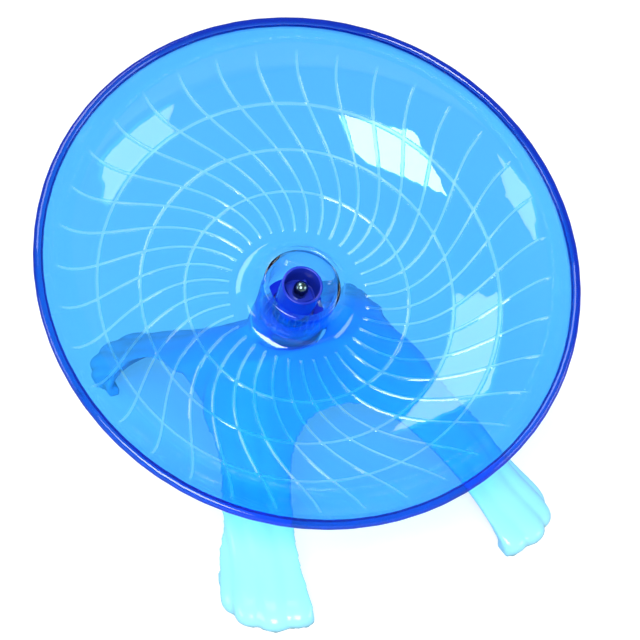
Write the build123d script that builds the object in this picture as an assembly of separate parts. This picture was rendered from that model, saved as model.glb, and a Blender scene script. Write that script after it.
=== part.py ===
from build123d import *
from math import asin, cos, degrees, pi, radians, sin, sqrt
import os

# Millimetres and degrees. +Z is up, +X is to the right of a person facing the low side
# of the dish, and the dish leans down towards -Y. Z = 0 is the surface it stands on, and
# X = Y = 0 is the middle of the whole wheel's footprint.

# Dish, measured from the plane of its rim
dish_diameter = 180.0
dish_tilt = 38.0
dish_wall = 1.8
bead_diameter = 3.2
floor_depth = 29.8
floor_radius = 38.0
bowl_radius = 59.5
knuckle_radius = 80.0

# Grip ribs on the dish
rib_count = 36
rib_width = 1.2
rib_height = 0.5
rib_root = 0.3
rib_start_radius = 23.5
rib_end_radius = 83.0
rib_sweep = 30.0
rib_steps = 8
rib_turn = 2.0
ring_radii = (38.6, 53.8, 68.6)
ring_width = 1.3

# Raised ring and bearing well in the middle of the dish
hub_foot_radius = 20.5
hub_crest_depth = 19.0
hub_crest_width = 2.8
well_draft = 0.5
well_wall = 1.7
well_lip = 1.5
well_lip_overlap = 1.5

# Ball bearing, standard 8 x 22 x 7
bearing_bore = 8.0
bearing_diameter = 22.0
bearing_width = 7.0
bearing_top_depth = 43.0
inner_race_diameter = 12.1
outer_race_bore = 17.8
ball_diameter = 3.96
ball_count = 7
ball_pitch_diameter = 15.0
groove_clearance = 0.07
shield_thickness = 0.35
shield_inset = 0.15
shield_bore = 12.8
shield_seat_diameter = 19.2
cage_thickness = 1.5
cage_height = 5.5
pocket_clearance = 0.17

# Notched ring that holds the bearing in the well
retainer_height = 2.0
retainer_bore = 15.0
notch_count = 5
notch_width = 2.8
notch_depth = 1.9
notch_turn = -8.7
fit_gap = 0.1

# Cap, nut, collar and spindle
cap_diameter = 14.0
cap_top_depth = 21.3
cap_foot_depth = 37.0
cap_wall = 0.9
cap_web = 2.5
collar_diameter = 11.6
collar_height = 9.0
nut_size = 8.0
nut_height = 4.0
thread_diameter = 5.0
thread_gap = 0.05
shank_gap = 0.03
tip_clearance = 0.2
washer_diameter = 16.0
washer_height = 1.2
head_across_flats = 13.0
head_height = 5.3

# Stand
bearing_height = 54.5
bearing_setback = 1.5
stand_wall = 2.4
stand_height = 47.5
foot_half_width = 58.5
foot_half_length = 93.0
foot_corner_radius = 20.0
flute_count = 4
flute_span = 31.5
flute_depth = 1.8
arch_height = 36.0
front_arch_half_width = 34.0
side_arch_half_width = 61.0
sole_thickness = 2.0
sole_width = 8.0
inside_corner_share = 0.8
boss_radius = 13.0
boss_length = 13.6
boss_gap = 0.8
pocket_gap = 1.3

# Heights of the stand's sections, as shares of its height, with the shares of its
# half width, half length, corner radius and flute depth that each section has
stand_sections = (
    (0.000, 0.975, 0.984, 1.00, 0.85),
    (0.070, 1.000, 1.000, 1.00, 1.00),
    (0.160, 0.970, 0.950, 1.00, 1.00),
    (0.370, 0.875, 0.745, 0.95, 0.90),
    (0.570, 0.795, 0.555, 0.92, 0.70),
    (0.760, 0.690, 0.372, 0.90, 0.40),
    (0.900, 0.570, 0.235, 0.78, 0.15),
    (1.000, 0.400, 0.130, 0.45, 0.05),
)


# Places worked out from the sizes above
rim_radius = (dish_diameter - bead_diameter) / 2
tilt = radians(dish_tilt)
bearing_middle_depth = bearing_top_depth + bearing_width / 2
bearing_bottom_depth = bearing_top_depth + bearing_width
well_bottom_depth = bearing_bottom_depth + well_lip
boss_top_depth = well_bottom_depth + boss_gap
boss_bottom_depth = boss_top_depth + boss_length
retainer_top_depth = bearing_top_depth - retainer_height
collar_top_depth = bearing_top_depth - collar_height
cap_floor_depth = collar_top_depth - cap_web
nut_top_depth = cap_floor_depth - nut_height
tip_centre_depth = cap_top_depth + tip_clearance + thread_diameter / 2

rim_reach = bearing_middle_depth * sin(tilt) + rim_radius * cos(tilt) + bead_diameter / 2
stand_middle_y = (rim_reach - bearing_setback - foot_half_length) / 2
rim_centre = Vector(
    0,
    stand_middle_y + bearing_setback - bearing_middle_depth * sin(tilt),
    bearing_height + bearing_middle_depth * cos(tilt),
)
dish_plane = Plane(origin=rim_centre, x_dir=(1, 0, 0), z_dir=(0, -sin(tilt), cos(tilt)))


def on_axis(shape):
    """Move a shape from the dish's own frame, rim plane at Z = 0, to its place."""
    return dish_plane.location * shape


def tube(outer, inner, bottom, top):
    """A tube about the dish's axis, between two depths below the rim plane."""
    height = bottom - top
    place = Pos(0, 0, -bottom)
    body = place * Cylinder(outer, height, align=(Align.CENTER, Align.CENTER, Align.MIN))
    if inner > 0:
        hole = place * Cylinder(inner, height, align=(Align.CENTER, Align.CENTER, Align.MIN))
        body = body - hole
    return body


def turned(edges):
    """Turn a closed outline in the XZ plane once round the Z axis."""
    return Solid.revolve(Face(Wire(edges)), 360, Axis.Z)


def point(radius, depth):
    """A point of a turned outline, at a radius and a depth below the rim plane."""
    return Vector(radius, 0, -depth)


def polyline(points):
    return [Edge.make_line(a, b) for a, b in zip(points, points[1:])]


def arc_about(centre, start, end):
    """The short arc from start to end about a centre in the XZ plane."""
    radius = (start - centre).length
    middle = centre + ((start - centre) + (end - centre)).normalized() * radius
    return Edge.make_three_point_arc(start, middle, end)


def bowl_arcs(offset):
    """The two arcs of the bowl's wall, moved outwards from its upper face by offset."""
    lower_centre = point(floor_radius, floor_depth - bowl_radius)
    lean = asin((knuckle_radius - floor_radius) / bowl_radius)
    outwards = Vector(sin(lean), 0, -cos(lean))
    knuckle = lower_centre + outwards * bowl_radius
    rim = point(rim_radius - dish_wall / 2, 0)
    chord = rim - knuckle
    upper_radius = chord.length ** 2 / (-2 * chord.dot(outwards))
    upper_centre = knuckle - outwards * upper_radius
    to_rim = (rim - upper_centre).normalized()
    foot = point(floor_radius, floor_depth + offset)
    knee = knuckle + outwards * offset
    end = rim + to_rim * offset
    return arc_about(lower_centre, foot, knee), arc_about(upper_centre, knee, end)


def dish_shell():
    """Bowl, rim bead, raised hub ring and bearing well as one turned solid."""
    seat = bearing_diameter / 2
    lip = seat - well_lip_overlap
    mouth = seat + well_draft
    crest = mouth + hub_crest_width
    shoulder_depth = hub_crest_depth + hub_crest_width / 2
    under_floor = floor_depth + dish_wall
    slope_depth = under_floor - (hub_foot_radius - crest) / 3
    upper = bowl_arcs(0)
    lower = bowl_arcs(dish_wall)

    well = polyline([
        point(lip, well_bottom_depth),
        point(lip, bearing_bottom_depth),
        point(seat, bearing_bottom_depth),
        point(seat, retainer_top_depth),
        point(mouth, shoulder_depth),
    ])
    ring_top = Edge.make_three_point_arc(
        point(mouth, shoulder_depth),
        point((mouth + crest) / 2, hub_crest_depth),
        point(crest, shoulder_depth),
    )
    flank_end = point(hub_foot_radius - dish_wall / 2, floor_depth - dish_wall / 2)
    flank_middle = (point(crest, shoulder_depth) + flank_end) * 0.5 + Vector(0.5, 0, 0.5)
    flank = Edge.make_three_point_arc(point(crest, shoulder_depth), flank_middle, flank_end)
    floor_start = point(hub_foot_radius + dish_wall / 2, floor_depth)
    foot = Edge.make_line(flank_end, floor_start)
    floor_top = Edge.make_line(floor_start, upper[0] @ 0)
    rim = Edge.make_line(upper[1] @ 1, lower[1] @ 1)
    underside = polyline([
        lower[0] @ 0,
        point(hub_foot_radius - dish_wall / 2, under_floor),
        point(hub_foot_radius - dish_wall * 1.6, slope_depth),
        point(crest - dish_wall / 3, shoulder_depth + dish_wall),
        point(mouth + well_wall, shoulder_depth + dish_wall),
        point(seat + well_wall, retainer_top_depth),
        point(seat + well_wall, well_bottom_depth),
        point(lip, well_bottom_depth),
    ])
    edges = well + [ring_top, flank, foot, floor_top, *upper, rim, lower[1], lower[0]]
    body = turned(edges + underside)
    bead = Solid.make_torus(rim_radius, bead_diameter / 2)
    return body + bead


def rib_angle(radius):
    """Turn of a rib at a radius: it leaves the hub and reaches the rim squarely."""
    share = (radius - rib_start_radius) / (rib_end_radius - rib_start_radius)
    return rib_sweep * share * share * (3 - 2 * share)


def rib_band():
    """One S-curved rib seen along the dish's axis."""
    radii = [
        rib_start_radius + (rib_end_radius - rib_start_radius) * i / rib_steps
        for i in range(rib_steps + 1)
    ]
    path = []
    for radius in radii:
        angle = radians(rib_angle(radius))
        path.append(Vector(radius * cos(angle), radius * sin(angle), 0))
    sides = []
    for side in (-rib_width / 2, rib_width / 2):
        edge_points = []
        for i, spot in enumerate(path):
            along = path[min(i + 1, rib_steps)] - path[max(i - 1, 0)]
            across = Vector(-along.Y, along.X, 0).normalized()
            edge_points.append(spot + across * side)
        sides.append(edge_points)
    right, left = sides
    outline = [
        Edge.make_spline(right),
        Edge.make_line(right[-1], left[-1]),
        Edge.make_spline(list(reversed(left))),
        Edge.make_line(left[0], right[0]),
    ]
    return Face(Wire(outline))


def rib_layer():
    """The thin skin on the bowl's upper face that ribs and rings stand in."""
    inner = bowl_arcs(-rib_height)
    outer = bowl_arcs(rib_root)
    start = rib_start_radius - rib_width
    top = point(start, floor_depth - rib_height)
    bottom = point(start, floor_depth + rib_root)
    edges = [
        Edge.make_line(top, inner[0] @ 0),
        *inner,
        Edge.make_line(inner[1] @ 1, outer[1] @ 1),
        outer[1],
        outer[0],
        Edge.make_line(outer[0] @ 0, bottom),
        Edge.make_line(bottom, top),
    ]
    return turned(edges)


def grip_pattern():
    """All the ribs and rings, cut to the height at which they stand proud."""
    band = rib_band()
    spread = [Rot(0, 0, rib_turn + 360 * i / rib_count) * band for i in range(rib_count)]
    for radius in ring_radii:
        spread.append(Circle(radius + ring_width / 2) - Circle(radius - ring_width / 2))
    flat = Sketch() + spread
    lift = floor_depth + 2 * rib_root
    tall = extrude(Pos(0, 0, -lift) * flat, lift, dir=(0, 0, 1))
    return tall & rib_layer()


def well_keys():
    """Small blocks on the well's wall that fill the retainer's notches."""
    seat = bearing_diameter / 2
    inner = seat - notch_depth + fit_gap
    outer = seat + well_wall / 2
    block = Pos((inner + outer) / 2, 0, -bearing_top_depth + retainer_height / 2) * Box(
        outer - inner, notch_width - 2 * fit_gap, retainer_height - fit_gap
    )
    return [Rot(0, 0, notch_turn + 360 * i / notch_count) * block for i in range(notch_count)]


def make_dish():
    return dish_shell() + well_keys() + grip_pattern()


def make_bearing_retainer():
    seat = bearing_diameter / 2
    ring = tube(seat - fit_gap, retainer_bore / 2, bearing_top_depth, retainer_top_depth)
    notch = Pos(seat, 0, -bearing_top_depth + retainer_height / 2) * Box(
        2 * notch_depth, notch_width, 2 * retainer_height
    )
    turns = [notch_turn + 360 * i / notch_count for i in range(notch_count)]
    return ring - [Rot(0, 0, turn) * notch for turn in turns]


def ball_groove():
    """The ring-shaped path that the balls run in, a little larger than a ball."""
    groove = Solid.make_torus(ball_pitch_diameter / 2, ball_diameter / 2 + groove_clearance)
    return Pos(0, 0, -bearing_middle_depth) * groove


def make_inner_race():
    race = tube(
        inner_race_diameter / 2, bearing_bore / 2, bearing_bottom_depth, bearing_top_depth
    )
    return race - ball_groove()


def make_outer_race():
    race = tube(
        bearing_diameter / 2, outer_race_bore / 2, bearing_bottom_depth, bearing_top_depth
    )
    recess = shield_thickness + shield_inset
    seat = shield_seat_diameter / 2
    top_seat = tube(seat, 0, bearing_top_depth + recess, bearing_top_depth)
    bottom_seat = tube(seat, 0, bearing_bottom_depth, bearing_bottom_depth - recess)
    return race - ball_groove() - top_seat - bottom_seat


def make_shield(outer_face_depth, inner_face_depth):
    low = max(outer_face_depth, inner_face_depth)
    high = min(outer_face_depth, inner_face_depth)
    return tube(shield_seat_diameter / 2, shield_bore / 2, low, high)


def make_balls():
    ball = Pos(ball_pitch_diameter / 2, 0, -bearing_middle_depth) * Sphere(ball_diameter / 2)
    return Compound([Rot(0, 0, 360 * i / ball_count) * ball for i in range(ball_count)])


def make_cage():
    pitch = ball_pitch_diameter / 2
    ring = tube(
        pitch + cage_thickness / 2,
        pitch - cage_thickness / 2,
        bearing_middle_depth + cage_height / 2,
        bearing_middle_depth - cage_height / 2,
    )
    pocket = Pos(pitch, 0, -bearing_middle_depth) * Rot(0, 90, 0) * Cylinder(
        ball_diameter / 2 + pocket_clearance, 3 * cage_thickness
    )
    return ring - [Rot(0, 0, 360 * i / ball_count) * pocket for i in range(ball_count)]


def make_collar():
    return tube(collar_diameter / 2, bearing_bore / 2, bearing_top_depth, collar_top_depth)


def make_hub_cap():
    body = tube(cap_diameter / 2, thread_diameter / 2 + thread_gap, cap_foot_depth, cap_top_depth)
    cup = tube(cap_diameter / 2 - cap_wall, 0, cap_floor_depth, cap_top_depth - cap_wall)
    skirt = tube(collar_diameter / 2 + fit_gap, 0, cap_foot_depth + cap_wall, collar_top_depth)
    return body - cup - skirt


def make_nut():
    middle = (cap_floor_depth + nut_top_depth) / 2
    block = Pos(0, 0, -middle) * Box(nut_size, nut_size, nut_height)
    dome = Pos(0, 0, -cap_floor_depth) * Cone(
        nut_size * 0.9, nut_size * 0.5, nut_height * 1.1,
        align=(Align.CENTER, Align.CENTER, Align.MIN),
    )
    hole = tube(thread_diameter / 2 + thread_gap, 0, cap_floor_depth + 1, nut_top_depth - 1)
    return (block & dome) - hole


def make_spindle():
    shank_end = boss_bottom_depth + washer_height
    shank = tube(bearing_bore / 2 - shank_gap, 0, shank_end, collar_top_depth)
    thread = tube(thread_diameter / 2, 0, collar_top_depth, tip_centre_depth)
    tip = Pos(0, 0, -tip_centre_depth) * Sphere(thread_diameter / 2)
    head_outline = RegularPolygon(head_across_flats / 2, 6, major_radius=False)
    head = extrude(Pos(0, 0, -shank_end - head_height) * head_outline, head_height)
    return shank + thread + tip + head


def make_washer():
    return tube(
        washer_diameter / 2, bearing_bore / 2, boss_bottom_depth + washer_height, boss_bottom_depth
    )


def fluted_section(height, half_x, half_y, corner, depth):
    """A level outline of the stand: flat sides, and flutes round each corner."""
    first = -(flute_count * flute_span - 90) / 2
    quarter = []
    for i in range(flute_count):
        angles = [radians(first + flute_span * (i + share)) for share in (0, 0.5, 1)]
        reach = [corner - depth, corner, corner - depth]
        quarter.append([
            (half_x - corner + r * cos(a), half_y - corner + r * sin(a))
            for r, a in zip(reach, angles)
        ])
    edges = []
    last = None
    start = None
    for x_sign, y_sign in ((1, 1), (-1, 1), (-1, -1), (1, -1)):
        arcs = quarter
        if x_sign * y_sign < 0:
            arcs = [list(reversed(arc)) for arc in reversed(quarter)]
        for arc in arcs:
            a, b, c = [Vector(x * x_sign, y * y_sign, height) for x, y in arc]
            if last is not None and (a - last).length > 1e-6:
                edges.append(Edge.make_line(last, a))
            if start is None:
                start = a
            edges.append(Edge.make_three_point_arc(a, b, c))
            last = c
    edges.append(Edge.make_line(last, start))
    return Wire(edges)


def stand_outside():
    wires = []
    for level, width, length, corner, depth in stand_sections:
        wires.append(fluted_section(
            level * stand_height,
            width * foot_half_width,
            length * foot_half_length,
            corner * foot_corner_radius,
            depth * flute_depth,
        ))
    return Solid.make_loft(wires)


def stand_inside():
    """The hollow under the stand, smooth and one wall inside the outer faces."""
    rise = stand_height
    run_x = foot_half_width * (1 - stand_sections[-1][1])
    run_y = foot_half_length * (1 - stand_sections[-1][2])
    inset_x = stand_wall * sqrt(rise ** 2 + run_x ** 2) / rise + flute_depth
    inset_y = stand_wall * sqrt(rise ** 2 + run_y ** 2) / rise + flute_depth
    wires = []
    for level, width, length, corner, depth in stand_sections[1:]:
        half_x = width * foot_half_width - inset_x
        half_y = length * foot_half_length - inset_y
        radius = min(corner * foot_corner_radius, half_x, half_y) * inside_corner_share
        outline = RectangleRounded(2 * half_x, 2 * half_y, radius)
        wires.append((Pos(0, 0, level * (stand_height - stand_wall)) * outline).wire())
    return Solid.make_loft(wires)


def arch_tunnel(half_width, length):
    """A long elliptical plug, lying along Y, that cuts an arch."""
    outline = Plane.XZ * Ellipse(half_width, arch_height)
    return extrude(outline, length / 2, both=True)


def make_stand():
    body = stand_outside() - stand_inside()
    opening = Box(
        2 * (foot_half_width - sole_width), 2 * (foot_half_length - sole_width), 4 * sole_thickness
    )
    body = body - opening
    body = body - arch_tunnel(front_arch_half_width, 3 * foot_half_length)
    body = body - Rot(0, 0, 90) * arch_tunnel(side_arch_half_width, 3 * foot_half_width)
    return Pos(0, stand_middle_y, 0) * body


def add_boss(stand):
    boss = tube(boss_radius, 0, boss_bottom_depth, boss_top_depth)
    spigot = tube(inner_race_diameter / 2 - fit_gap, 0, boss_top_depth + 1, bearing_bottom_depth)
    pocket = tube(
        bearing_diameter / 2 + well_wall + pocket_gap, 0, boss_top_depth, hub_crest_depth
    )
    bore = tube(bearing_bore / 2, 0, boss_bottom_depth + head_height, bearing_bottom_depth - 1)
    room = tube(washer_diameter / 2 + 1, 0, boss_bottom_depth + 20, boss_bottom_depth)
    body = (stand + on_axis(boss)) - on_axis(pocket) + on_axis(spigot)
    return body - on_axis(bore) - on_axis(room)


def build_nodes():
    recess = shield_inset + shield_thickness
    turned_nodes = {
        "dish": make_dish(),
        "bearing_retainer": make_bearing_retainer(),
        "bearing_outer_race": make_outer_race(),
        "bearing_upper_shield": make_shield(
            bearing_top_depth + shield_inset, bearing_top_depth + recess
        ),
        "bearing_lower_shield": make_shield(
            bearing_bottom_depth - shield_inset, bearing_bottom_depth - recess
        ),
        "bearing_cage": make_cage(),
        "bearing_balls": make_balls(),
        "bearing_inner_race": make_inner_race(),
        "spacer_collar": make_collar(),
        "hub_cap": make_hub_cap(),
        "square_nut": make_nut(),
        "spindle": make_spindle(),
        "spindle_washer": make_washer(),
    }
    nodes = {name: on_axis(shape) for name, shape in turned_nodes.items()}
    nodes["stand"] = add_boss(make_stand())
    return nodes


def main():
    os.makedirs("parts", exist_ok=True)
    for name, shape in build_nodes().items():
        export_step(shape, f"parts/{name}.step")


main()
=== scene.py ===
import math

import bmesh
import bpy
from mathutils import Matrix, Vector

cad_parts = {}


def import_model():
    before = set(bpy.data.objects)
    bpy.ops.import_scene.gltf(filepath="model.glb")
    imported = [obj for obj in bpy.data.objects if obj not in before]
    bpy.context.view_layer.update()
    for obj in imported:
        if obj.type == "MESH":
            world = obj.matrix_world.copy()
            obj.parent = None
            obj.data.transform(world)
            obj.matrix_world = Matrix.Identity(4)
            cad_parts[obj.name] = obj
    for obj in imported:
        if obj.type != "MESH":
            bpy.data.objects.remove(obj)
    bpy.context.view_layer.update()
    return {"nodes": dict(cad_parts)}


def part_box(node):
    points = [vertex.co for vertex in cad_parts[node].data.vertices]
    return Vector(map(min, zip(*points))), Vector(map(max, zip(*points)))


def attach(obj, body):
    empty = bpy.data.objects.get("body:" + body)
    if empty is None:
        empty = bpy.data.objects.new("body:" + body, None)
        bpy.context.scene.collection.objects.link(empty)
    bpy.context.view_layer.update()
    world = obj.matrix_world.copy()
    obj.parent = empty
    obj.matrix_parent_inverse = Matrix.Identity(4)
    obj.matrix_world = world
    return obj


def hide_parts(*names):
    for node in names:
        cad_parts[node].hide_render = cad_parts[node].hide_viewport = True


MM = 0.001

# The dish's own frame: the middle of its rim, and its axis
DISH_TILT = math.radians(38.0)
RIM_CENTRE = Vector((0.0, -24.434, 91.143)) * MM
RIM_RADIUS = 88.4
BEAD_RADIUS = 1.6
DISH_WALL = 1.8
FLOOR_DEPTH = 29.8
FLOOR_RADIUS = 38.0
BOWL_RADIUS = 59.5
KNUCKLE_RADIUS = 80.0

# Grip ribs and rings
RIB_COUNT = 36
RIB_HEIGHT = 0.5
RIB_HALF_WIDTH = 0.6
RIB_START = 23.5
RIB_END = 83.0
RIB_FADE = 2.0
RIB_SWEEP = math.radians(30.0)
RIB_TURN = math.radians(2.0)
SPOKES_PER_RIB = 8
RING_RADII = (38.6, 53.8, 68.6)
RING_HALF_WIDTH = 0.65

# Hub ring and bearing well
HUB_FOOT = 20.5
CREST_DEPTH = 19.0
CREST_WIDTH = 2.4
SEAT_RADIUS = 11.0
MOUTH_RADIUS = 11.5
WELL_WALL = 1.7
BEARING_TOP = 43.0
BEARING_BOTTOM = 50.0
LIP = 1.5

# Notched retainer; a notch is 1.4 mm to each side at a radius of 10 mm
RETAINER_HEIGHT = 2.0
RETAINER_RADIUS = 10.9
RETAINER_BORE = 7.5
NOTCH_COUNT = 5
NOTCH_TURN = math.radians(-8.7)
NOTCH_HALF_ANGLE = 1.4 / 10.0
NOTCH_FLOOR = 9.1
NOTCH_REACH = 8.9

# Cap, collar, spindle and nut; depths are taken from the rim plane
CAP_RADIUS = 7.0
CAP_BORE = 6.1
CAP_SKIRT_BORE = 5.95
CAP_HOLE = 2.6
CAP_TOP = 21.3
CAP_FLOOR = 31.5
CAP_FLOOR_UNDER = 34.0
CAP_FOOT = 37.0
COLLAR_RADIUS = 5.8
COLLAR_BORE = 4.0
COLLAR_TOP = 34.05
THREAD_RADIUS = 2.5
TIP_CENTRE = 24.0
SHANK_RADIUS = 4.0
SHANK_TOP = 34.0
SHANK_END = 67.2
HEAD_RADIUS = 7.5
HEAD_HEIGHT = 5.2
HEAD_MIDDLE = 69.75
NUT_WIDTH = 8.0
NUT_HEIGHT = 4.0
NUT_MIDDLE = 29.5

SPIN_STEPS = 96
STAND_VOXEL = 0.8
STAND_SMOOTHINGS = 4

CAMERA_PLACE = (-0.173581, -0.494054, 0.390491)
CAMERA_RIGHT = (0.917837, -0.390139, -0.073258)
CAMERA_UP = (0.269102, 0.475855, 0.837345)
CAMERA_BACK = (-0.291820, -0.788260, 0.541744)
CAMERA_LENS = 101.25
CAMERA_SENSOR = 36.0

# Level of the white background where it is seen, and where it only gives light
WORLD_SEEN = 1.0
WORLD_LIT = 0.24
FLOOR_GREY = (0.5, 0.5, 0.5, 1.0)
FLOOR_GLOW = 0.7

# Name, place, target and size in metres, and power in watts
LAMPS = (
    ("key", (-0.36, -0.86, 0.84), (0, 0, 0.06), (0.5, 0.5), 13.0),
    ("top", (-0.15, 0.10, 1.2), (0, 0, 0.08), (0.6, 0.6), 6.0),
    ("right box", (0.60, -0.52, 0.22), (-0.03, 0.03, 0.11), (0.40, 0.26), 1.6),
    ("left box", (-0.80, -0.02, 0.42), (0.07, 0, 0.09), (0.34, 0.34), 1.8),
)


def dish_matrix():
    """From the dish's own frame, in mm with the rim plane at zero, to the row frame."""
    turn = Matrix.Rotation(DISH_TILT, 4, "X")
    return Matrix.Translation(RIM_CENTRE) @ turn @ Matrix.Scale(MM, 4)


def into_row_frame(mesh):
    bmesh.ops.transform(mesh, matrix=dish_matrix(), verts=mesh.verts)


def finish_mesh(name, mesh, body, material, smooth_angle=35.0):
    """Make an object of a bmesh, smooth it, and let it ride on its body."""
    data = bpy.data.meshes.new(name)
    bmesh.ops.recalc_face_normals(mesh, faces=mesh.faces)
    mesh.to_mesh(data)
    mesh.free()
    data.shade_smooth()
    data.set_sharp_from_angle(angle=math.radians(smooth_angle))
    data.materials.append(material)
    piece = bpy.data.objects.new(name, data)
    bpy.context.scene.collection.objects.link(piece)
    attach(piece, body)
    return piece


def spun(profile, steps=SPIN_STEPS, closed=True):
    """Turn a profile of (radius, depth) points once round the dish's axis."""
    mesh = bmesh.new()
    verts = [mesh.verts.new((radius, 0.0, -depth)) for radius, depth in profile]
    edges = [mesh.edges.new(pair) for pair in zip(verts, verts[1:])]
    if closed:
        edges.append(mesh.edges.new((verts[-1], verts[0])))
    bmesh.ops.spin(
        mesh,
        geom=verts + edges,
        cent=(0, 0, 0),
        axis=(0, 0, 1),
        angle=math.tau,
        steps=steps,
        use_merge=True,
    )
    bmesh.ops.remove_doubles(mesh, verts=mesh.verts, dist=0.001)
    return mesh


def rounded(points, radius, steps=3):
    """A closed outline of (radius, depth) points with its corners rounded."""
    result = []
    count = len(points)
    for i, corner in enumerate(points):
        here = Vector(corner)
        before = Vector(points[i - 1]) - here
        after = Vector(points[(i + 1) % count]) - here
        reach = min(radius, before.length * 0.45, after.length * 0.45)
        start = here + before.normalized() * reach
        end = here + after.normalized() * reach
        for k in range(steps + 1):
            t = k / steps
            spot = start * (1 - t) ** 2 + here * (2 * t * (1 - t)) + end * t ** 2
            result.append((spot.x, spot.y))
    return result


# Materials

CLEAR_TINT = (0.075, 0.43, 0.92)
CLEAR_THIN = (0.10, 0.48, 0.935)
# Paler colour on the rib and ring tops: a painted highlight that stands in for light
# catching the ribs
RIB_HIGHLIGHT_TINT = (0.30, 0.70, 0.97)
BEAD_TINT = (0.0, 0.03, 0.45)
SHADOW_TINT = (0.12, 0.56, 0.97, 1.0)
CLEAR_IOR = 1.01
COAT_IOR = 1.5
BEAD_CLARITY = 0.8
RUBBED_ROUGHNESS = 0.35


class Finish:
    """A Principled material and the nodes that give it its grain."""

    def __init__(self, name, colour, roughness, metallic=0.0):
        self.material = bpy.data.materials.new(name)
        self.material.use_nodes = True
        self.nodes = self.material.node_tree.nodes
        self.links = self.material.node_tree.links
        self.shader = self.nodes["Principled BSDF"]
        self.output = self.nodes["Material Output"]
        self.shader.inputs["Base Color"].default_value = (*colour, 1.0)
        self.shader.inputs["Roughness"].default_value = roughness
        self.shader.inputs["Metallic"].default_value = metallic
        self.place = self.nodes.new("ShaderNodeTexCoord").outputs["Object"]

    def noise(self, scale, detail):
        noise = self.nodes.new("ShaderNodeTexNoise")
        noise.inputs["Scale"].default_value = scale
        noise.inputs["Detail"].default_value = detail
        self.links.new(self.place, noise.inputs["Vector"])
        return noise.outputs["Fac"]

    def ramp(self, value, low, high):
        """Carry the middle of a noise, 0.3 to 0.7, over to the range low to high."""
        node = self.nodes.new("ShaderNodeMapRange")
        node.inputs["From Min"].default_value = 0.3
        node.inputs["From Max"].default_value = 0.7
        node.inputs["To Min"].default_value = low
        node.inputs["To Max"].default_value = high
        self.links.new(value, node.inputs["Value"])
        return node.outputs["Result"]

    def tint(self, value, low, high):
        node = self.nodes.new("ShaderNodeValToRGB")
        node.color_ramp.elements[0].position = 0.3
        node.color_ramp.elements[1].position = 0.7
        node.color_ramp.elements[0].color = (*low, 1.0)
        node.color_ramp.elements[1].color = (*high, 1.0)
        self.links.new(value, node.inputs["Fac"])
        self.links.new(node.outputs["Color"], self.shader.inputs["Base Color"])

    def mixed(self, share, first, second):
        """One colour going over to another by a share; each is a colour or a socket."""
        node = self.nodes.new("ShaderNodeMix")
        node.data_type = "RGBA"
        self.links.new(share, node.inputs["Factor"])
        for name, colour in (("A", first), ("B", second)):
            sockets = [i for i in node.inputs if i.name == name and i.type == "RGBA"]
            socket = sockets[0]
            if isinstance(colour, tuple):
                socket.default_value = (*colour, 1.0)
            else:
                self.links.new(colour, socket)
        return [o for o in node.outputs if o.type == "RGBA"][0]

    def grain(self, value, distance, strength=0.4):
        bump = self.nodes.new("ShaderNodeBump")
        bump.inputs["Strength"].default_value = strength
        bump.inputs["Distance"].default_value = distance
        self.links.new(value, bump.inputs["Height"])
        self.links.new(bump.outputs["Normal"], self.shader.inputs["Normal"])

    def rough(self, value, low, high):
        self.links.new(self.ramp(value, low, high), self.shader.inputs["Roughness"])


def clear_blue():
    """Clear tinted moulding: rib and ring tops are rubbed rougher and painted paler, a
    painted highlight along the ribs, and the thick bead is deeper.
    """
    finish = Finish("clear blue moulding", CLEAR_TINT, 0.03)
    finish.shader.inputs["Transmission Weight"].default_value = 1.0
    finish.shader.inputs["IOR"].default_value = CLEAR_IOR
    finish.shader.inputs["Coat Weight"].default_value = 1.0
    finish.shader.inputs["Coat Roughness"].default_value = 0.02
    finish.shader.inputs["Coat IOR"].default_value = COAT_IOR
    patches = finish.ramp(finish.noise(22.0, 3.0), 0.0, 0.25)
    cloud = finish.mixed(patches, CLEAR_TINT, CLEAR_THIN)
    grip = finish.nodes.new("ShaderNodeAttribute")
    grip.attribute_name = "grip"
    # Rib and ring tops get the paler colour, a painted highlight along the ribs
    with_rib_highlight = finish.mixed(grip.outputs["Fac"], cloud, RIB_HIGHLIGHT_TINT)
    bead = finish.nodes.new("ShaderNodeAttribute")
    bead.attribute_name = "bead"
    edged = finish.mixed(bead.outputs["Fac"], with_rib_highlight, BEAD_TINT)
    finish.links.new(edged, finish.shader.inputs["Base Color"])
    passing = finish.nodes.new("ShaderNodeMapRange")
    passing.inputs["To Min"].default_value = 1.0
    passing.inputs["To Max"].default_value = BEAD_CLARITY
    finish.links.new(bead.outputs["Fac"], passing.inputs["Value"])
    finish.links.new(
        passing.outputs["Result"], finish.shader.inputs["Transmission Weight"]
    )
    polish = finish.ramp(finish.noise(60.0, 4.0), 0.015, 0.06)
    rubbed = finish.nodes.new("ShaderNodeMath")
    rubbed.operation = "MULTIPLY_ADD"
    rubbed.inputs[1].default_value = RUBBED_ROUGHNESS
    finish.links.new(grip.outputs["Fac"], rubbed.inputs[0])
    finish.links.new(polish, rubbed.inputs[2])
    finish.links.new(rubbed.outputs["Value"], finish.shader.inputs["Roughness"])
    finish.grain(finish.noise(14.0, 2.0), 0.0004, 0.15)
    shadow = finish.nodes.new("ShaderNodeLightPath")
    pane = finish.nodes.new("ShaderNodeBsdfTransparent")
    pane.inputs["Color"].default_value = SHADOW_TINT
    mix = finish.nodes.new("ShaderNodeMixShader")
    finish.links.new(shadow.outputs["Is Shadow Ray"], mix.inputs["Fac"])
    finish.links.new(finish.shader.outputs["BSDF"], mix.inputs[1])
    finish.links.new(pane.outputs["BSDF"], mix.inputs[2])
    finish.links.new(mix.outputs["Shader"], finish.output.inputs["Surface"])
    return finish.material


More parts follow.
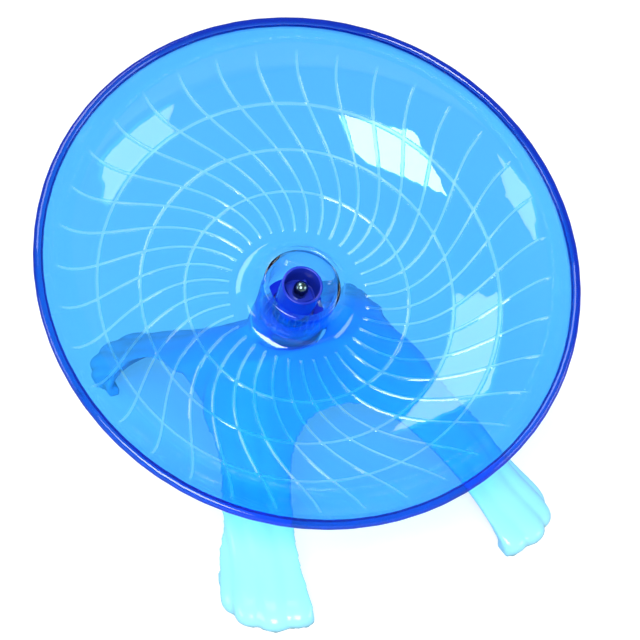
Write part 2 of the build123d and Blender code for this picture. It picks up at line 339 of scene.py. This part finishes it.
def pale_cyan():
    """Milky cyan moulding with a soft gloss and faint flow marks."""
    finish = Finish("pale cyan moulding", (0.33, 0.80, 0.96), 0.2)
    finish.shader.inputs["IOR"].default_value = 1.49
    finish.tint(finish.noise(9.0, 4.0), (0.30, 0.78, 0.96), (0.36, 0.82, 0.97))
    finish.rough(finish.noise(45.0, 4.0), 0.14, 0.26)
    finish.grain(finish.noise(420.0, 3.0), 0.00006, 0.25)
    return finish.material


def dark_blue():
    finish = Finish("dark blue moulding", (0.02, 0.05, 0.5), 0.18)
    finish.tint(finish.noise(30.0, 3.0), (0.008, 0.02, 0.34), (0.012, 0.04, 0.55))
    finish.rough(finish.noise(150.0, 4.0), 0.12, 0.26)
    finish.grain(finish.noise(900.0, 3.0), 0.00004, 0.3)
    return finish.material


def turned_steel(name, colour, roughness):
    """Steel with a fine even grain."""
    finish = Finish(name, colour, roughness, 1.0)
    darker = tuple(c * 0.82 for c in colour)
    finish.tint(finish.noise(700.0, 4.0), darker, colour)
    finish.rough(finish.noise(500.0, 4.0), roughness * 0.8, roughness * 1.3)
    finish.grain(finish.noise(1500.0, 2.0), 0.00002, 0.3)
    return finish.material


# Pieces that turn with the dish


def bowl_depth(radius):
    """Depth of the bowl's upper face at a radius."""
    if radius <= FLOOR_RADIUS:
        return FLOOR_DEPTH
    centre = FLOOR_DEPTH - BOWL_RADIUS
    return centre + math.sqrt(BOWL_RADIUS ** 2 - (radius - FLOOR_RADIUS) ** 2)


def wall_arcs(offset, spots):
    """Points of the bowl's wall, moved outwards by offset, from floor to rim."""
    lower_centre = Vector((FLOOR_RADIUS, FLOOR_DEPTH - BOWL_RADIUS))
    lean = math.asin((KNUCKLE_RADIUS - FLOOR_RADIUS) / BOWL_RADIUS)
    out = Vector((math.sin(lean), math.cos(lean)))
    knuckle = lower_centre + out * BOWL_RADIUS
    rim = Vector((RIM_RADIUS - DISH_WALL / 2, 0.0))
    chord = rim - knuckle
    upper_radius = chord.length_squared / (-2 * chord.dot(out))
    upper_centre = knuckle - out * upper_radius
    points = []
    for radius in spots:
        angle = math.asin((radius - FLOOR_RADIUS) / BOWL_RADIUS)
        reach = BOWL_RADIUS + offset
        points.append(lower_centre + Vector((math.sin(angle), math.cos(angle))) * reach)
    to_rim = rim - upper_centre
    last = math.atan2(to_rim.x, to_rim.y)
    steps = 6
    for i in range(1, steps + 1):
        angle = lean + (last - lean) * i / steps
        reach = upper_radius + offset
        points.append(upper_centre + Vector((math.sin(angle), math.cos(angle))) * reach)
    return [(p.x, p.y) for p in points]


def ring_spots():
    """Radii across the floor and wall, close together at each ring and rib end."""
    spots = {HUB_FOOT + 1.5, FLOOR_RADIUS - 2.5}
    spots |= {RIB_START - 0.6, RIB_START, RIB_START + 0.5}
    for radius in RING_RADII:
        for share in (-1.25, -1.0, -0.45, 0.45, 1.0, 1.25):
            spots.add(radius + share * RING_HALF_WIDTH)
    radius = RIB_START + 2.0
    while radius < KNUCKLE_RADIUS:
        if all(abs(radius - spot) > 1.0 for spot in spots):
            spots.add(radius)
        radius += 1.9
    spots.add(KNUCKLE_RADIUS)
    return sorted(spots)


def dish_profile():
    """Outline of the dish: well, hub ring, floor, wall, bead and the underside back."""
    spots = ring_spots()
    floor = [(r, FLOOR_DEPTH) for r in spots if r < FLOOR_RADIUS]
    wall = wall_arcs(0.0, [r for r in spots if r >= FLOOR_RADIUS])
    crest = MOUTH_RADIUS + CREST_WIDTH
    shoulder = CREST_DEPTH + CREST_WIDTH / 2
    points = [
        (SEAT_RADIUS - LIP, BEARING_BOTTOM + LIP),
        (SEAT_RADIUS - LIP, BEARING_BOTTOM + 0.15),
        (SEAT_RADIUS - 0.1, BEARING_BOTTOM),
        (SEAT_RADIUS, BEARING_TOP + 1.0),
        (SEAT_RADIUS, BEARING_TOP - RETAINER_HEIGHT - 0.2),
        (SEAT_RADIUS + 0.1, BEARING_TOP - RETAINER_HEIGHT - 0.6),
        (MOUTH_RADIUS - 0.25, BEARING_TOP - 12.0),
        (MOUTH_RADIUS, shoulder),
    ]
    for i in range(1, 8):
        angle = math.pi * i / 8
        points.append((
            MOUTH_RADIUS + CREST_WIDTH / 2 * (1 - math.cos(angle)),
            shoulder - CREST_WIDTH / 2 * math.sin(angle),
        ))
    flank = [(crest, shoulder), (crest + 0.95, 23.5), (crest + 2.3, 26.4)]
    flank += [(HUB_FOOT - 2.1, 28.3), (HUB_FOOT - 0.9, 29.2), (HUB_FOOT + 0.5, 29.7)]
    points += flank + floor + wall
    rim_start = math.radians(230.0)
    for i in range(15):
        angle = rim_start - math.radians(280.0) * i / 14
        points.append((
            RIM_RADIUS + BEAD_RADIUS * math.cos(angle),
            -BEAD_RADIUS * math.sin(angle),
        ))
    outer_spots = [FLOOR_RADIUS + 4.0 * i for i in range(11)] + [KNUCKLE_RADIUS]
    outer = wall_arcs(DISH_WALL, outer_spots)
    points += list(reversed(outer[:-1]))
    under = FLOOR_DEPTH + DISH_WALL
    points += [(30.0, under), (HUB_FOOT + 1.0, under), (HUB_FOOT - 1.4, under - 0.5)]
    points += [(HUB_FOOT - 3.2, under - 2.2), (crest - 0.1, 25.0)]
    points += [(crest - 0.8, shoulder + 1.7), (MOUTH_RADIUS + WELL_WALL, shoulder + 1.9)]
    points += [(MOUTH_RADIUS + WELL_WALL - 0.1, 30.0), (SEAT_RADIUS + WELL_WALL, 41.0)]
    points += [(SEAT_RADIUS + WELL_WALL, BEARING_BOTTOM + LIP - 0.3)]
    points += [(SEAT_RADIUS + WELL_WALL - 0.3, BEARING_BOTTOM + LIP)]
    return points


def smooth_step(value):
    value = min(max(value, 0.0), 1.0)
    return value * value * (3 - 2 * value)


def rib_angle(radius):
    """How far round a rib has swept at a radius."""
    return RIB_SWEEP * smooth_step((radius - RIB_START) / (RIB_END - RIB_START))


def raise_grip(mesh):
    """Follow the ribs' sweep with the mesh's spokes, then lift ribs and rings."""
    pitch = math.tau / RIB_COUNT
    spoke = pitch / SPOKES_PER_RIB
    middle = 3
    shares = (-1.2, -1.0, -0.45, 0.45, 1.0, 1.2)
    steepest = (KNUCKLE_RADIUS - FLOOR_RADIUS) / BOWL_RADIUS
    grip = mesh.verts.layers.float.new("grip")
    bead = mesh.verts.layers.float.new("bead")
    for vert in mesh.verts:
        radius = math.hypot(vert.co.x, vert.co.y)
        depth = -vert.co.z
        angle = math.atan2(vert.co.y, vert.co.x)
        rib, column = divmod(round(angle / spoke) + middle, SPOKES_PER_RIB)
        surface = bowl_depth(min(radius, KNUCKLE_RADIUS))
        upper = RIB_START - 1.0 < radius < RIB_END + 1.5 and depth < surface + 0.6
        offset = (column - middle) * spoke
        across = RIB_HALF_WIDTH / max(radius, RIB_START)
        slope = math.sqrt(1 + (radius * rib_slope(radius)) ** 2)
        lift = 0.0
        if column < len(shares):
            share = shares[column]
            squeeze = smooth_step((radius - RIB_START + 6.0) / 5.0)
            if depth > FLOOR_DEPTH + 4.0 or radius < RIB_START - 6.0:
                squeeze = 0.0
            narrow = share * across * slope
            offset += (narrow - offset) * squeeze
            if upper and abs(share) < 0.5:
                ends = smooth_step((radius - RIB_START) / 0.6)
                ends *= 1 - smooth_step((radius - RIB_END + RIB_FADE) / RIB_FADE)
                lift = RIB_HEIGHT * ends
        if upper:
            for ring in RING_RADII:
                if abs(radius - ring) < 0.6 * RING_HALF_WIDTH:
                    lift = RIB_HEIGHT
        angle = RIB_TURN + rib * pitch + offset + rib_angle(radius)
        vert[grip] = lift / RIB_HEIGHT
        on_bead = math.hypot(radius - RIM_RADIUS, depth) < BEAD_RADIUS + 0.1
        vert[bead] = 1.0 if on_bead else 0.0
        if lift > 0.0:
            lean = 0.0
            if radius > FLOOR_RADIUS:
                lean = math.asin(min((radius - FLOOR_RADIUS) / BOWL_RADIUS, steepest))
            radius -= lift * math.sin(lean)
            depth -= lift * math.cos(lean)
        vert.co = (radius * math.cos(angle), radius * math.sin(angle), -depth)


def rib_slope(radius):
    """How fast a rib turns with radius, in radians per mm."""
    step = 0.25
    return (rib_angle(radius + step) - rib_angle(radius - step)) / (2 * step)


def make_dish(material):
    mesh = spun(dish_profile(), steps=RIB_COUNT * SPOKES_PER_RIB)
    raise_grip(mesh)
    into_row_frame(mesh)
    piece = finish_mesh("dish_moulding", mesh, "dish", material, 60.0)
    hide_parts("dish")


def make_retainer(material):
    """Notched ring: a turned ring, its notches bevelled where they are cut."""
    top = BEARING_TOP - RETAINER_HEIGHT
    outline = [
        (RETAINER_BORE, top), (RETAINER_RADIUS, top),
        (RETAINER_RADIUS, BEARING_TOP), (RETAINER_BORE, BEARING_TOP),
    ]
    mesh = spun(rounded(outline, 0.25, 2), steps=100)
    pitch = math.tau / NOTCH_COUNT
    for vert in mesh.verts:
        radius = math.hypot(vert.co.x, vert.co.y)
        angle = math.atan2(vert.co.y, vert.co.x) - NOTCH_TURN
        away = abs((angle + pitch / 2) % pitch - pitch / 2)
        if radius > NOTCH_REACH and away < NOTCH_HALF_ANGLE:
            radius = NOTCH_FLOOR
        vert.co.x = radius * math.cos(angle + NOTCH_TURN)
        vert.co.y = radius * math.sin(angle + NOTCH_TURN)
    into_row_frame(mesh)
    piece = finish_mesh("notched_retainer", mesh, "dish", material, 30.0)
    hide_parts("bearing_retainer")


# Pieces that stay with the stand


def make_cap(material):
    outline = [
        (CAP_RADIUS, CAP_TOP), (CAP_RADIUS, CAP_FOOT - 1.0),
        (CAP_RADIUS - 0.05, CAP_FOOT), (CAP_SKIRT_BORE, CAP_FOOT),
        (CAP_SKIRT_BORE, CAP_FLOOR_UNDER), (CAP_HOLE, CAP_FLOOR_UNDER),
        (CAP_HOLE, CAP_FLOOR), (CAP_BORE, CAP_FLOOR), (CAP_BORE, CAP_TOP),
    ]
    mesh = spun(rounded(outline, 0.35, 3))
    into_row_frame(mesh)
    piece = finish_mesh("hollow_cap", mesh, "stand", material, 40.0)
    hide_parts("hub_cap")


def make_collar(material):
    outline = [
        (COLLAR_RADIUS, COLLAR_TOP), (COLLAR_RADIUS, BEARING_TOP),
        (COLLAR_BORE, BEARING_TOP), (COLLAR_BORE, COLLAR_TOP),
    ]
    mesh = spun(rounded(outline, 0.2, 2))
    into_row_frame(mesh)
    piece = finish_mesh("steel_collar", mesh, "stand", material, 40.0)
    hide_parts("spacer_collar")


def make_spindle(material):
    """Stepped pin with a domed tip and a hexagonal head."""
    shaft = [(0.0, TIP_CENTRE - THREAD_RADIUS)]
    for i in range(1, 9):
        angle = math.pi / 2 * i / 8
        shaft.append((
            THREAD_RADIUS * math.sin(angle),
            TIP_CENTRE - THREAD_RADIUS * math.cos(angle),
        ))
    shaft += [(THREAD_RADIUS, SHANK_TOP - 0.1), (SHANK_RADIUS, SHANK_TOP + 0.1)]
    shaft += [(SHANK_RADIUS, SHANK_END)]
    mesh = spun(shaft, steps=64, closed=False)
    head = bmesh.new()
    place = Matrix.Translation((0, 0, -HEAD_MIDDLE))
    bmesh.ops.create_cone(
        head, cap_ends=True, segments=6, radius1=HEAD_RADIUS, radius2=HEAD_RADIUS,
        depth=HEAD_HEIGHT, matrix=place @ Matrix.Rotation(math.pi / 6, 4, "Z"),
    )
    bmesh.ops.bevel(
        head, geom=head.edges[:], offset=0.35, segments=2, profile=0.5, material=-1,
        affect="EDGES",
    )
    carry = bpy.data.meshes.new("head")
    head.to_mesh(carry)
    head.free()
    mesh.from_mesh(carry)
    bpy.data.meshes.remove(carry)
    into_row_frame(mesh)
    piece = finish_mesh("domed_spindle", mesh, "stand", material, 40.0)
    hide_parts("spindle")


def make_nut(material):
    """Square block with rounded edges; it has no hole, the spindle runs through it."""
    mesh = bmesh.new()
    place = Matrix.Translation((0, 0, -NUT_MIDDLE))
    shape = Matrix.Diagonal((NUT_WIDTH, NUT_WIDTH, NUT_HEIGHT, 1.0))
    bmesh.ops.create_cube(mesh, size=1.0, matrix=place @ shape)
    bmesh.ops.bevel(
        mesh, geom=mesh.edges[:], offset=0.45, segments=3, profile=0.5, material=-1,
        affect="EDGES",
    )
    into_row_frame(mesh)
    piece = finish_mesh("square_nut_body", mesh, "stand", material, 40.0)
    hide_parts("square_nut")


def make_stand(material, node):
    """The stand's moulding, with every edge softened as a mould leaves it."""
    mesh = bmesh.new()
    mesh.from_mesh(node.data)
    bmesh.ops.remove_doubles(mesh, verts=mesh.verts, dist=0.00001)
    raw = bpy.data.meshes.new("stand raw")
    mesh.to_mesh(raw)
    mesh.free()
    piece = bpy.data.objects.new("fluted_stand", raw)
    bpy.context.scene.collection.objects.link(piece)
    remesh = piece.modifiers.new("even", "REMESH")
    remesh.mode = "VOXEL"
    remesh.voxel_size = STAND_VOXEL * MM
    graph = bpy.context.evaluated_depsgraph_get()
    data = bpy.data.meshes.new_from_object(piece.evaluated_get(graph))
    bpy.data.objects.remove(piece)
    soft = bmesh.new()
    soft.from_mesh(data)
    for _ in range(STAND_SMOOTHINGS):
        bmesh.ops.smooth_vert(
            soft, verts=soft.verts, factor=0.5, use_axis_x=True, use_axis_y=True,
            use_axis_z=True,
        )
    low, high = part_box("stand")
    for vert in soft.verts:
        vert.co.z = max(vert.co.z, low[2])
        if vert.co.z < 0.5 * MM:
            vert.co.z = low[2]
    piece = finish_mesh("fluted_stand", soft, "stand", material, 180.0)
    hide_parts("stand")


# Scene


def aim(obj, target):
    direction = Vector(target) - obj.location
    obj.rotation_euler = direction.to_track_quat("-Z", "Y").to_euler()


def soft_light(name, place, target, size, power):
    data = bpy.data.lights.new(name, "AREA")
    data.shape = "RECTANGLE"
    data.size, data.size_y = size
    data.energy = power
    lamp = bpy.data.objects.new(name, data)
    lamp.location = place
    aim(lamp, target)
    bpy.context.scene.collection.objects.link(lamp)


def seen_directly(nodes, links):
    """1 for what the camera sees, also through the clear dish, and 0 for bounced light."""
    path = nodes.new("ShaderNodeLightPath")
    either = nodes.new("ShaderNodeMath")
    either.operation = "MAXIMUM"
    links.new(path.outputs["Is Camera Ray"], either.inputs[0])
    links.new(path.outputs["Is Transmission Ray"], either.inputs[1])
    unbounced = nodes.new("ShaderNodeMath")
    unbounced.operation = "LESS_THAN"
    unbounced.inputs[1].default_value = 0.5
    links.new(path.outputs["Diffuse Depth"], unbounced.inputs[0])
    both = nodes.new("ShaderNodeMath")
    both.operation = "MULTIPLY"
    links.new(either.outputs["Value"], both.inputs[0])
    links.new(unbounced.outputs["Value"], both.inputs[1])
    return both.outputs["Value"]


def background():
    """White where the camera sees it, and a low plain level in light and reflections."""
    world = bpy.data.worlds.new("studio")
    bpy.context.scene.world = world
    world.use_nodes = True
    nodes, links = world.node_tree.nodes, world.node_tree.links
    base = nodes["Background"]
    base.inputs["Strength"].default_value = WORLD_LIT
    seen = nodes.new("ShaderNodeBackground")
    seen.inputs["Color"].default_value = (1.0, 1.0, 1.0, 1.0)
    seen.inputs["Strength"].default_value = WORLD_SEEN
    base.inputs["Color"].default_value = (1.0, 1.0, 1.0, 1.0)
    mix = nodes.new("ShaderNodeMixShader")
    links.new(seen_directly(nodes, links), mix.inputs["Fac"])
    links.new(base.outputs["Background"], mix.inputs[1])
    links.new(seen.outputs["Background"], mix.inputs[2])
    links.new(mix.outputs["Shader"], nodes["World Output"].inputs["Surface"])


def make_floor():
    mesh = bmesh.new()
    bmesh.ops.create_grid(mesh, x_segments=1, y_segments=1, size=3.0)
    data = bpy.data.meshes.new("floor")
    mesh.to_mesh(data)
    mesh.free()
    floor = bpy.data.objects.new("floor", data)
    bpy.context.scene.collection.objects.link(floor)
    material = bpy.data.materials.new("white floor")
    material.use_nodes = True
    nodes, links = material.node_tree.nodes, material.node_tree.links
    shader = nodes["Principled BSDF"]
    shader.inputs["Base Color"].default_value = FLOOR_GREY
    shader.inputs["Roughness"].default_value = 0.9
    glow = nodes.new("ShaderNodeEmission")
    scale = nodes.new("ShaderNodeMath")
    scale.operation = "MULTIPLY"
    scale.inputs[1].default_value = FLOOR_GLOW
    links.new(seen_directly(nodes, links), scale.inputs[0])
    links.new(scale.outputs["Value"], glow.inputs["Strength"])
    add = nodes.new("ShaderNodeAddShader")
    links.new(shader.outputs["BSDF"], add.inputs[0])
    links.new(glow.outputs["Emission"], add.inputs[1])
    links.new(add.outputs["Shader"], nodes["Material Output"].inputs["Surface"])
    data.materials.append(material)


def make_camera():
    data = bpy.data.cameras.new("camera")
    data.lens = CAMERA_LENS
    data.sensor_width = CAMERA_SENSOR
    data.clip_start = 0.01
    camera = bpy.data.objects.new("camera", data)
    turn = Matrix((CAMERA_RIGHT, CAMERA_UP, CAMERA_BACK)).transposed().to_4x4()
    camera.matrix_world = Matrix.Translation(CAMERA_PLACE) @ turn
    bpy.context.scene.collection.objects.link(camera)
    bpy.context.scene.camera = camera


def paint_frame(frame, finishes):
    """Give each CAD node that stays in view the finish of its kind."""
    for name, material in finishes.items():
        node = frame["nodes"][name]
        node.data.materials.clear()
        node.data.materials.append(material)


def main():
    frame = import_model()
    bpy.context.scene.view_settings.view_transform = "Standard"
    make_camera()

    clear = clear_blue()
    cyan = pale_cyan()
    blue = dark_blue()
    bright = turned_steel("bright steel", (0.78, 0.80, 0.83), 0.14)
    bearing = turned_steel("bearing steel", (0.70, 0.72, 0.75), 0.16)
    pressed = turned_steel("pressed sheet", (0.60, 0.61, 0.63), 0.3)
    dark = turned_steel("dark turned steel", (0.16, 0.26, 0.28), 0.22)

    make_dish(clear)
    make_retainer(blue)
    make_cap(blue)
    make_collar(dark)
    make_spindle(dark)
    make_nut(blue)
    make_stand(cyan, frame["nodes"]["stand"])
    paint_frame(frame, {
        "bearing_outer_race": bearing,
        "bearing_inner_race": bearing,
        "bearing_upper_shield": bearing,
        "bearing_lower_shield": bearing,
        "bearing_balls": bright,
        "bearing_cage": pressed,
        "spindle_washer": bright,
    })

    make_floor()
    background()
    for lamp in LAMPS:
        soft_light(*lamp)


main()
